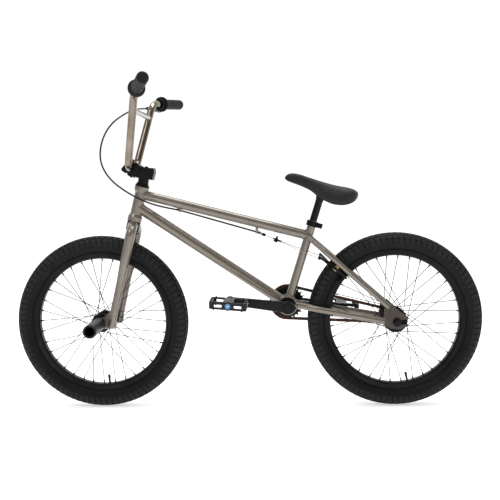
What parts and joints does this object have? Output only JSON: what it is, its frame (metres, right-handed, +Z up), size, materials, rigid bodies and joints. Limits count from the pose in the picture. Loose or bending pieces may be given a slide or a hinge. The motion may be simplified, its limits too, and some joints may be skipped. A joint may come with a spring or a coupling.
{
  "type": "bmx bike",
  "caption": "Freestyle BMX bike with a high bar, low saddle, platform pedals, one front axle peg and a cable-pulled rear rim brake.",
  "frame": {"origin": "on the ground, in the bike's middle plane, midway between the two tyres' contact points", "axes": "-X is the riding direction, -Y is the rider's left, +Z is up"},
  "size_m": [1.3986, 0.7272, 0.9563],
  "materials": {
    "frame_paint": "satin metallic taupe",
    "dropout_paint": "dark brown",
    "bar_nickel": "polished smoked nickel",
    "crossbar_nickel": "polished nickel",
    "black_alloy": "satin black",
    "black_steel": "satin black paint",
    "steel_hardware": "zinc",
    "spoke_steel": "black",
    "chain_steel": "dark copper tint",
    "brass": "plain",
    "tyre_rubber": "black",
    "tube_rubber": "black",
    "grip_rubber": "matte black",
    "cable_plastic": "black",
    "saddle_skin": "matte charcoal",
    "saddle_shell": "black",
    "pedal_plastic": "black",
    "reflector_plastic": "orange",
    "cap_plastic": "blue"
  },
  "bodies": {
    "frame": {"head_tube": "frame_paint", "top_tube": "frame_paint", "down_tube": "frame_paint", "seat_tube": "frame_paint", "bottom_bracket_shell": "frame_paint", "rear_dropouts": "dropout_paint", "seat_stays": "frame_paint", "chain_stays": "frame_paint", "cable_guides": "frame_paint", "brake_bosses": "brass", "frame_bearings": "steel_hardware", "seat_clamp": "black_alloy", "rear_axle": "black_steel", "chain": "chain_steel", "rear_brake_housing": "cable_plastic"},
    "steering": {"fork_steerer": "black_steel", "fork_legs": "frame_paint", "headset_cover": "black_alloy", "stem_body": "black_alloy", "stem_faceplate": "black_alloy", "stem_bolts": "black_steel", "handlebar": "bar_nickel", "crossbar": "crossbar_nickel", "grip_left": "grip_rubber", "grip_right": "grip_rubber", "lever_mount": "black_alloy", "front_brake_housing": "cable_plastic", "front_axle": "black_steel", "front_peg": "black_steel", "front_axle_nuts": "black_steel"},
    "brake_lever": {"lever_blade": "black_alloy"},
    "front_wheel": {"front_hub": "black_alloy", "front_spokes": "spoke_steel", "front_rim": "black_alloy", "front_tyre": "tyre_rubber", "front_inner_tube": "tube_rubber"},
    "rear_wheel": {"rear_hub": "black_alloy", "rear_spokes": "spoke_steel", "rear_rim": "black_alloy", "rear_tyre": "tyre_rubber", "rear_inner_tube": "tube_rubber"},
    "cog": {"rear_cog": "steel_hardware"},
    "crankset": {"crank_spindle": "black_steel", "crank_arm_left": "black_steel", "crank_arm_right": "black_steel", "sprocket": "black_alloy", "pedal_spindles": "black_steel"},
    "pedal_body_left": {"pedal_left": "pedal_plastic", "pedal_reflectors_left": "reflector_plastic", "pedal_cap_left": "cap_plastic"},
    "pedal_body_right": {"pedal_right": "pedal_plastic", "pedal_reflectors_right": "reflector_plastic", "pedal_cap_right": "cap_plastic"},
    "seat_post_body": {"seat_post": "black_steel"},
    "saddle": {"saddle_cover": "saddle_skin", "saddle_base": "saddle_shell"},
    "brake_arm_body_left": {"brake_arm_left": "black_alloy"},
    "brake_arm_body_right": {"brake_arm_right": "black_alloy"},
    "yoke": {"brake_yoke": "steel_hardware", "brake_wire": "steel_hardware"}
  },
  "joints": [
    {"name": "steering", "type": "hinge", "parent": "frame", "child": "steering", "pos_m": [-0.3364, 0, 0.564], "axis": [0.2504, 0, 0.9681], "range_deg": [-75, 75], "deforming": ["front_brake_housing"]},
    {"name": "lever_pull", "type": "hinge", "parent": "steering", "child": "brake_lever", "pos_m": [-0.31055, 0.22095, 0.91591], "axis": [0.4098, -0.0523, -0.9107], "range_deg": [0, 14], "stiffness_Nm_per_rad": 1.5, "springref_deg": -4.58, "deforming": ["brake_wire"]},
    {"name": "front_wheel_spin", "type": "hinge", "parent": "steering", "child": "front_wheel", "pos_m": [-0.4393, 0, 0.26], "axis": [0, -1, 0], "continuous": true},
    {"name": "rear_wheel_spin", "type": "hinge", "parent": "frame", "child": "rear_wheel", "pos_m": [0.4393, 0, 0.26], "axis": [0, -1, 0], "continuous": true},
    {"name": "crank_spin", "type": "hinge", "parent": "frame", "child": "crankset", "pos_m": [0.12053, 0, 0.307], "axis": [0, -1, 0], "continuous": true, "deforming": ["chain"]},
    {"name": "cog_spin", "type": "hinge", "parent": "frame", "child": "cog", "pos_m": [0.4393, 0, 0.26], "axis": [0, -1, 0], "continuous": true, "deforming": ["chain"]},
    {"name": "pedal_spin_left", "type": "hinge", "parent": "crankset", "child": "pedal_body_left", "pos_m": [-0.04813, 0, 0.32831], "axis": [0, -1, 0], "continuous": true},
    {"name": "pedal_spin_right", "type": "hinge", "parent": "crankset", "child": "pedal_body_right", "pos_m": [0.28919, 0, 0.28569], "axis": [0, -1, 0], "continuous": true},
    {"name": "seat_post_slide", "type": "slide", "parent": "frame", "child": "seat_post_body", "axis": [0.3007, 0, 0.9537], "range_m": [-0.045, 0.04]},
    {"name": "saddle_tilt", "type": "hinge", "parent": "seat_post_body", "child": "saddle", "pos_m": [0.22097, 0, 0.62554], "axis": [0, 1, 0], "range_deg": [-12, 12]},
    {"name": "brake_arm_left_pivot", "type": "hinge", "parent": "frame", "child": "brake_arm_body_left", "pos_m": [0.2657, -0.046, 0.42076], "axis": [0.6794, 0, 0.7337], "range_deg": [0, 2.61], "deforming": ["brake_wire"]},
    {"name": "brake_arm_right_pivot", "type": "hinge", "parent": "frame", "child": "brake_arm_body_right", "pos_m": [0.2657, 0.046, 0.42076], "axis": [-0.6794, 0, -0.7337], "range_deg": [0, 2.61], "deforming": ["brake_wire"]},
    {"name": "yoke_slide", "type": "slide", "parent": "frame", "child": "yoke", "axis": [-0.921, 0, 0.3895], "range_m": [0, 0.00402], "deforming": ["brake_wire"]}
  ],
  "couplings": [
    {"joint": "cog_spin", "follows": "crank_spin", "ratio": 2.7778},
    {"joint": "brake_arm_left_pivot", "follows": "lever_pull", "ratio": 0.18571},
    {"joint": "brake_arm_right_pivot", "follows": "lever_pull", "ratio": 0.18571},
    {"joint": "yoke_slide", "follows": "lever_pull", "m_per_rad": 0.01637}
  ]
}
